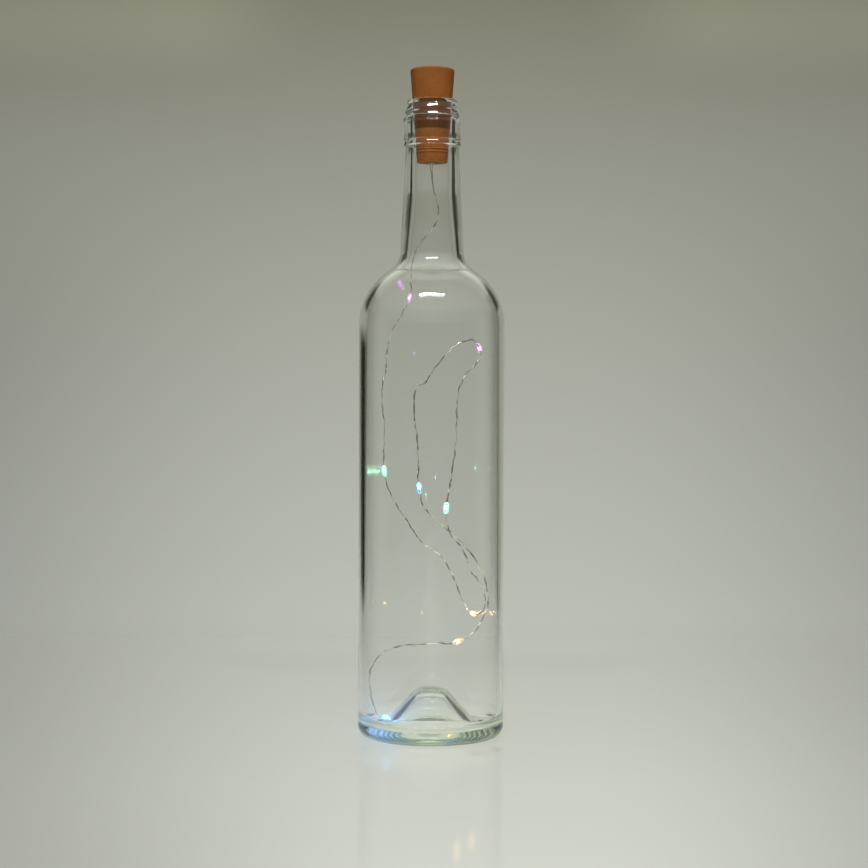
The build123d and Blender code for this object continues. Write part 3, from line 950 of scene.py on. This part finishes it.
class BOTTLE_LIGHT_OT_string(bpy.types.Operator):
    """Makes the string's wire, and a resin drop around each light"""

    bl_idname = "bottle_light.string"
    bl_label = "Light string"

    def execute(self, context):
        settings = context.scene.bottle_light.string
        line = string_line()
        frames = line_frames(line)
        wire = new_object("light_string", tube_mesh("light_string", strand_runs(line, frames, settings), 6))
        wire.data.materials.append(wire_finish())
        pieces = []
        for index, place in enumerate(LIGHT_PLACES):
            colour = tuple(getattr(settings, LIGHT_COLOURS[index]))
            name = f"resin_drop_{index + 1}"
            drop = new_object(name, tube_mesh(name, [drop_run(line, frames, place, settings)], 20))
            drop.data.materials.append(drop_finish(f"lit_resin_{index + 1}", colour, DROP_PAINTED_GLOW[index]))
            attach(drop, "bottle")
            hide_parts(f"light_bead_{index + 1}")
            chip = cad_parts[f"light_chip_{index + 1}"]
            chip.data.materials.clear()
            chip.data.materials.append(chip_finish(f"lit_chip_{index + 1}", colour, CHIP_GLOW[index]))
            pieces += [drop, chip]
        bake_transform(wire)
        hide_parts("lead_strands", *[f"wire_{index + 1}" for index in range(LIGHT_COUNT)])
        return {"FINISHED"}


# Pieces inside the stopper

# Node, finish, its two tones, grain, roughness, depth of the grain, and metallic where it is metal
WORKS_FINISHES = [
    ("lead_seal", "pale_sealant", (0.62, 0.56, 0.46), (0.50, 0.44, 0.34), 500.0, 0.5, 0.05 * MM),
    ("circuit_board", "green_board", (0.02, 0.16, 0.06), (0.01, 0.09, 0.03), 600.0, 0.35, 0.02 * MM),
    ("resistor", "black_resistor", (0.02, 0.02, 0.02), (0.05, 0.05, 0.05), 900.0, 0.4, 0.02 * MM),
    ("battery_sleeve", "ivory_plastic", (0.74, 0.69, 0.56), (0.66, 0.60, 0.47), 300.0, 0.42, 0.03 * MM),
    ("cap_gasket", "black_rubber", (0.018, 0.018, 0.018), (0.04, 0.04, 0.038), 700.0, 0.7, 0.05 * MM),
    ("switch_body", "black_plastic", (0.02, 0.02, 0.022), (0.035, 0.035, 0.036), 800.0, 0.45, 0.03 * MM),
    ("spring_leaf", "sprung_bronze", (0.72, 0.48, 0.22), (0.52, 0.31, 0.12), 350.0, 0.28, 0.01 * MM, 1.0),
    ("switch_pins", "tinned_pin", (0.78, 0.77, 0.74), (0.6, 0.59, 0.55), 500.0, 0.3, 0.01 * MM, 1.0),
    ("cell_cup_1", "cell_steel", (0.70, 0.70, 0.69), (0.56, 0.56, 0.55), 400.0, 0.26, 0.01 * MM, 1.0),
]


class BOTTLE_LIGHT_OT_works(bpy.types.Operator):
    """Gives the pieces inside the stopper their finishes"""

    bl_idname = "bottle_light.works"
    bl_label = "Inside of the stopper"

    def execute(self, context):
        finishes = {}
        for name, finish, colour, dark, *surface in WORKS_FINISHES:
            finishes[name] = mottled_finish(finish, (*colour, 1), (*dark, 1), *surface)
        same = {
            "contact_carrier": "battery_sleeve",
            "switch_slider": "switch_body",
            "bus_strip": "spring_leaf",
            "centre_contact": "spring_leaf",
            "ring_contact": "spring_leaf",
        }
        for index in (1, 2, 3):
            same[f"cell_cup_{index}"] = "cell_cup_1"
            same[f"cell_lid_{index}"] = "cell_cup_1"
            same[f"cell_seal_{index}"] = "switch_body"
        for name in [*finishes, *same]:
            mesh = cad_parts[name].data
            mesh.materials.clear()
            mesh.materials.append(finishes[same.get(name, name)])
        return {"FINISHED"}


# Stage

def sweep_mesh(stage):
    """A floor that curves up into a backdrop as wide as the camera's view."""
    corners = [(-1.6, 0.0, 0.0, 1), (3.4, 0.0, 3.0, 24), (3.4, 3.1, 0.0, 2)]
    outline = [place for place in rounded_outline(corners, PAPER_FIT) if place.y < PAPER_TOP]
    points, faces = [], []
    for place in outline:
        half = FLOOR_HALF_WIDTH
        if place.x >= BACKDROP_START:
            half = VIEW_HALF_WIDTH * (place.x + stage.camera_distance) + VIEW_MARGIN
        points += [(-half, place.x, place.y), (half, place.x, place.y)]
    for row in range(len(outline) - 1):
        faces.append([2 * row, 2 * row + 1, 2 * row + 3, 2 * row + 2])
    return mesh_from("paper_sweep", points, faces)


def paper_finish(stage):
    """Pale satin paper with a faint tooth, with painted shade that darkens it towards its top and sides, and
    painted light in its top corners.
    """
    material, tree, shader = new_finish("pale_paper")
    place = object_place(tree)
    spot = add_node(tree, "ShaderNodeSeparateXYZ", {0: place}).outputs
    # Painted shade: the paper darkens towards the top of the backdrop.
    rise = add_node(tree, "ShaderNodeMapRange", {"Value": spot[2], 1: 0.05, 2: 1.0}).outputs[0]
    tone = mix_colour(tree, rise, tuple(stage.paper), tuple(stage.paper_top_painted_shade))
    # Painted shade towards the sides lower down, and painted light in the top corners.
    spread = calc(tree, "MAXIMUM", calc(tree, "ADD", spot[1], 0.75), 0.45)
    aside = calc(tree, "DIVIDE", calc(tree, "ABSOLUTE", calc(tree, "SUBTRACT", spot[0], 0.03)), spread)
    sides, low = ramp(tree, aside, 0.06, 0.42, 0.0, 0.37), ramp(tree, spot[2], 0.72, 0.2)
    corners, high = ramp(tree, aside, 0.07, 0.16, 0.0, 0.26), ramp(tree, spot[2], 0.74, 0.93)
    darker, lighter = calc(tree, "MULTIPLY", sides, low), calc(tree, "MULTIPLY", corners, high)
    tooth = calc(tree, "MULTIPLY", noise(tree, place, 60.0, 3.0), 0.015)
    shade = calc(tree, "SUBTRACT", 1.0, tooth)
    shade = calc(tree, "SUBTRACT", shade, calc(tree, "SUBTRACT", darker, lighter))
    shaded = add_node(tree, "ShaderNodeVectorMath", {0: tone, "Scale": shade}, operation="SCALE").outputs[0]
    tree.links.new(shaded, shader.inputs["Base Color"])
    tree.links.new(ramp(tree, spot[1], 0.25, 0.7, 0.10, 0.8), shader.inputs["Roughness"])
    set_shader(shader, Specular_IOR_Level=0.12)
    return material


def area_light(name, place, aim, size, power):
    lamp = bpy.data.lights.new(name, "AREA")
    lamp.shape = "RECTANGLE"
    lamp.size, lamp.size_y = size
    lamp.energy = power
    obj = bpy.data.objects.new(name, lamp)
    obj.location = place
    obj.rotation_euler = (Vector(aim) - Vector(place)).to_track_quat("-Z", "Y").to_euler()
    bpy.context.scene.collection.objects.link(obj)
    return obj


def studio_world():
    """A pale room, paler high behind and dark in front, with dark flags at both sides and low on the left.

    Each area is given by its turn from straight behind, to the right, and by its height.
    """
    world = bpy.data.worlds.new("studio")
    world.use_nodes = True
    tree = world.node_tree
    way = add_node(tree, "ShaderNodeTexCoord").outputs["Generated"]
    part = add_node(tree, "ShaderNodeSeparateXYZ", {0: way}).outputs
    turn = calc(tree, "ARCTAN2", part[0], part[1])
    aside = calc(tree, "ABSOLUTE", turn)
    above = ramp(tree, part[2], 0.25, 0.5)
    room = mix_colour(tree, above, (0.30, 0.305, 0.255, 1.0), (0.42, 0.425, 0.385, 1.0))
    behind = calc(tree, "MULTIPLY", ramp(tree, aside, 1.3, 1.1), ramp(tree, part[2], 0.46, 0.52))
    room = mix_colour(tree, behind, room, (0.64, 0.66, 0.58, 1.0))
    front = calc(tree, "MULTIPLY", ramp(tree, aside, 1.3, 2.0), ramp(tree, part[2], 0.5, 0.3))
    room = mix_colour(tree, front, room, (0.055, 0.055, 0.047, 1.0))
    wings = calc(tree, "MULTIPLY", ramp(tree, aside, 0.38, 0.46), ramp(tree, aside, 1.1, 1.0))
    wings = calc(tree, "MULTIPLY", wings, ramp(tree, part[2], 0.16, 0.22))
    wings = calc(tree, "MULTIPLY", wings, ramp(tree, part[2], 0.46, 0.40))
    room = mix_colour(tree, wings, room, (0.04, 0.042, 0.03, 1.0))
    right = calc(tree, "MULTIPLY", ramp(tree, turn, 0.67, 0.74), ramp(tree, turn, 1.3, 1.15))
    left = calc(tree, "MULTIPLY", ramp(tree, turn, -0.84, -0.90), ramp(tree, turn, -1.3, -1.15))
    flags = calc(tree, "MULTIPLY", calc(tree, "MAXIMUM", left, right), ramp(tree, part[2], 0.32, 0.22))
    low = calc(tree, "MULTIPLY", ramp(tree, turn, -0.295, -0.32), ramp(tree, turn, -1.0, -0.9))
    level = calc(tree, "MULTIPLY", ramp(tree, part[2], 0.06, 0.04), ramp(tree, part[2], -0.12, -0.09))
    dark = calc(tree, "MAXIMUM", flags, calc(tree, "MULTIPLY", low, level))
    tone = mix_colour(tree, dark, room, (0.014, 0.013, 0.006, 1.0))
    tree.links.new(tone, tree.nodes["Background"].inputs[0])
    return world


class BOTTLE_LIGHT_OT_stage(bpy.types.Operator):
    """Sets the camera, the paper sweep and the studio lights"""

    bl_idname = "bottle_light.stage"
    bl_label = "Stage"

    def execute(self, context):
        scene = context.scene
        stage = scene.bottle_light.stage
        lens = bpy.data.cameras.new("camera")
        lens.lens = stage.lens
        lens.sensor_width = 36.0
        lens.clip_end = 20.0
        camera = bpy.data.objects.new("camera", lens)
        camera.location = (CAMERA_ASIDE, -stage.camera_distance, stage.camera_height)
        camera.rotation_euler = (math.radians(90 - CAMERA_DIP), math.radians(CAMERA_ROLL), 0.0)
        scene.collection.objects.link(camera)
        scene.camera = camera
        sweep = new_object("paper_sweep", sweep_mesh(stage))
        sweep.data.materials.append(paper_finish(stage))
        area_light("softbox", (0.0, -0.69, 1.15), (0.0, 0.0, 0.17), (0.68, 0.075), 16.5)
        back = area_light("back_softbox", (0.0, 1.2, 2.2), (0.0, 1.5, 0.15), (1.4, 0.8), 16.0)
        back.visible_glossy = False
        back.visible_transmission = False
        scene.world = studio_world()
        scene.view_settings.view_transform = "Standard"
        scene.cycles.caustics_reflective = False
        scene.cycles.caustics_refractive = False
        scene.cycles.max_bounces = 32
        scene.cycles.transmission_bounces = 32
        scene.cycles.glossy_bounces = 16
        scene.cycles.transparent_max_bounces = 32
        return {"FINISHED"}


class BOTTLE_LIGHT_PT_panel(bpy.types.Panel):
    """Lists the pieces of the bottle light and their settings"""

    bl_idname = "BOTTLE_LIGHT_PT_panel"
    bl_label = "Bottle light"
    bl_space_type = "VIEW_3D"
    bl_region_type = "UI"
    bl_category = "Bottle light"

    def draw(self, context):
        settings = context.scene.bottle_light
        for operator, group in PANEL_ROWS:
            column = self.layout.column(align=True)
            column.operator(operator.bl_idname)
            if group:
                part = getattr(settings, group)
                for name in part.bl_rna.properties.keys():
                    if name not in ("rna_type", "name"):
                        column.prop(part, name)


PANEL_ROWS = [
    (BOTTLE_LIGHT_OT_string, "string"),
    (BOTTLE_LIGHT_OT_bottle, "glass"),
    (BOTTLE_LIGHT_OT_stopper, "stopper"),
    (BOTTLE_LIGHT_OT_works, None),
    (BOTTLE_LIGHT_OT_stage, "stage"),
]
CLASSES = [
    BottleLightGlass,
    BottleLightStopper,
    BottleLightString,
    BottleLightStage,
    BottleLightSettings,
    *[operator for operator, _ in PANEL_ROWS],
    BOTTLE_LIGHT_PT_panel,
]


def register():
    for cls in CLASSES:
        bpy.utils.register_class(cls)
    bpy.types.Scene.bottle_light = PointerProperty(type=BottleLightSettings)


def unregister():
    del bpy.types.Scene.bottle_light
    for cls in reversed(CLASSES):
        bpy.utils.unregister_class(cls)


def main():
    register()
    bpy.ops.bottle_light.stage()
    bpy.ops.bottle_light.string()
    bpy.ops.bottle_light.bottle()
    bpy.ops.bottle_light.stopper()
    bpy.ops.bottle_light.works()
    bpy.context.view_layer.update()


if __name__ == "__main__":
    main()
